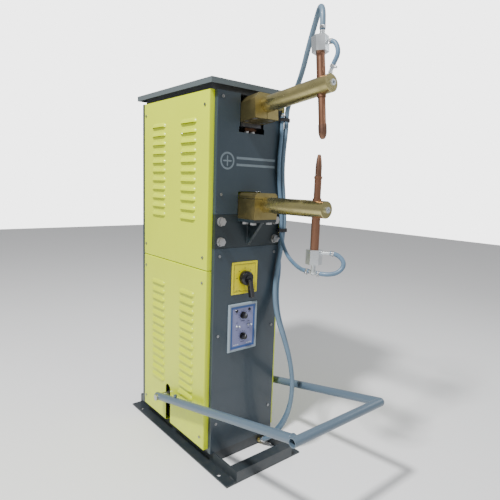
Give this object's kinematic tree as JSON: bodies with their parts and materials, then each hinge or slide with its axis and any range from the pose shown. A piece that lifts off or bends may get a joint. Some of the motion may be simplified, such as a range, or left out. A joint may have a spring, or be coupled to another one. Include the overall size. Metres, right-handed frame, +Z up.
{
  "type": "spot welder",
  "caption": "Foot-operated rocker-arm spot welder: tall louvred cabinet on an angle-iron base, horn arms with water-cooled electrodes, U-shaped foot bar and front controls.",
  "frame": {"origin": "on the floor, at the centre of the rectangle of anchor holes in the base frame", "axes": "+Z up, +X to the right of an operator facing the machine, -Y towards the operator, along the arms"},
  "size_m": [0.428, 1.0134, 1.4718],
  "materials": {
    "frame_dark": "satin dark slate enamel",
    "panel_dark": "satin dark slate enamel",
    "lid_dark": "satin slate enamel",
    "tray_yellow": "semi-gloss lime yellow enamel",
    "brass": "machined, slightly dulled",
    "copper": "drawn copper alloy, lightly oxidised",
    "zinc": "zinc plated",
    "steel": "turned steel",
    "bolt_steel": "plated, weathered",
    "forged": "forged, oiled",
    "pedal_paint": "blue-grey enamel, worn",
    "core_iron": "varnished laminations",
    "coil": "varnished winding",
    "hose_rubber": "blue-grey rubber",
    "black_plastic": "black moulded plastic",
    "switch_yellow": "yellow moulded plastic",
    "timer_plate": "printed panel in a grey bezel",
    "case_grey": "grey enamel"
  },
  "bodies": {
    "root": {"back_cover": "frame_dark", "base_cross_rails": "frame_dark", "base_side_rails": "frame_dark", "cabinet_frame": "frame_dark", "contactor": "black_plastic", "cover_screws": "zinc", "flexible_shunt": "copper", "front_panel_lower": "panel_dark", "front_panel_upper": "panel_dark", "front_plate": "panel_dark", "hose_link": "hose_rubber", "hose_loop": "hose_rubber", "hose_return": "hose_rubber", "hose_ties": "black_plastic", "hose_upper": "hose_rubber", "indicator_lamps": "black_plastic", "lower_arm": "brass", "lower_arm_plug": "zinc", "lower_block": "brass", "lower_block_bolts": "bolt_steel", "lower_electrode_cap": "zinc", "lower_electrode_holder": "copper", "lower_electrode_tip": "copper", "mains_gland": "black_plastic", "pedal_bearings": "frame_dark", "pivot_shaft": "steel", "plate_bolts": "bolt_steel", "primary_coils": "coil", "return_spring": "steel", "secondary_conductors": "copper", "side_tray_lower_left": "tray_yellow", "side_tray_lower_right": "tray_yellow", "side_tray_upper_left": "tray_yellow", "side_tray_upper_right": "tray_yellow", "switch_body": "black_plastic", "switch_plate": "switch_yellow", "timer_box": "case_grey", "timer_panel": "timer_plate", "top_lid": "lid_dark", "transformer_core": "core_iron", "water_nipples": "brass"},
    "rocker": {"upper_arm": "brass", "upper_block": "brass", "upper_block_bolts": "bolt_steel", "rocker_lever": "forged", "upper_electrode_holder": "copper", "upper_electrode_tip": "copper", "upper_electrode_cap": "zinc", "upper_arm_fittings": "zinc", "hose_short": "hose_rubber"},
    "pedal": {"pedal_shaft": "steel", "pedal_tubes": "pedal_paint", "pedal_lever": "forged"},
    "push_rod": {"push_rod": "steel", "pressure_spring": "steel"},
    "switch_handle": {"switch_handle": "black_plastic"},
    "weld_time_knob": {"weld_time_knob": "black_plastic"},
    "weld_heat_knob": {"weld_heat_knob": "black_plastic"},
    "power_toggle": {"power_toggle": "zinc"},
    "mode_toggle": {"mode_toggle": "zinc"}
  },
  "joints": [
    {"name": "pedal_hinge", "type": "hinge", "parent": "root", "child": "pedal", "pos_m": [0, 0.045, 0.166], "axis": [1, 0, 0], "range_deg": [0, 13.66], "stiffness_Nm_per_rad": 60, "springref_deg": -51.57},
    {"name": "rocker_hinge", "type": "hinge", "parent": "root", "child": "rocker", "pos_m": [0, -0.139, 1.165], "axis": [1, 0, 0], "range_deg": [0, 6.2], "deforming": ["hose_upper", "flexible_shunt"]},
    {"name": "push_rod_slide", "type": "slide", "parent": "root", "child": "push_rod", "axis": [0, 0, 1], "range_m": [0, 0.0364], "deforming": ["return_spring"]},
    {"name": "switch_turn", "type": "hinge", "parent": "root", "child": "switch_handle", "pos_m": [-0.013, -0.23, 0.6505], "axis": [0, -1, 0], "range_deg": [-45, 135]},
    {"name": "weld_time_turn", "type": "hinge", "parent": "root", "child": "weld_time_knob", "pos_m": [-0.0165, -0.225, 0.519], "axis": [0, -1, 0], "range_deg": [-150, 150]},
    {"name": "weld_heat_turn", "type": "hinge", "parent": "root", "child": "weld_heat_knob", "pos_m": [-0.0165, -0.225, 0.4445], "axis": [0, -1, 0], "range_deg": [-150, 150]},
    {"name": "power_flip", "type": "hinge", "parent": "root", "child": "power_toggle", "pos_m": [-0.042, -0.217, 0.4815], "axis": [1, 0, 0], "range_deg": [0, 24]},
    {"name": "mode_flip", "type": "hinge", "parent": "root", "child": "mode_toggle", "pos_m": [0.009, -0.217, 0.4815], "axis": [1, 0, 0], "range_deg": [0, 24]}
  ],
  "couplings": [
    {"joint": "rocker_hinge", "follows": "pedal_hinge", "ratio": 0.45386},
    {"joint": "push_rod_slide", "follows": "pedal_hinge", "m_per_rad": 0.15267}
  ]
}
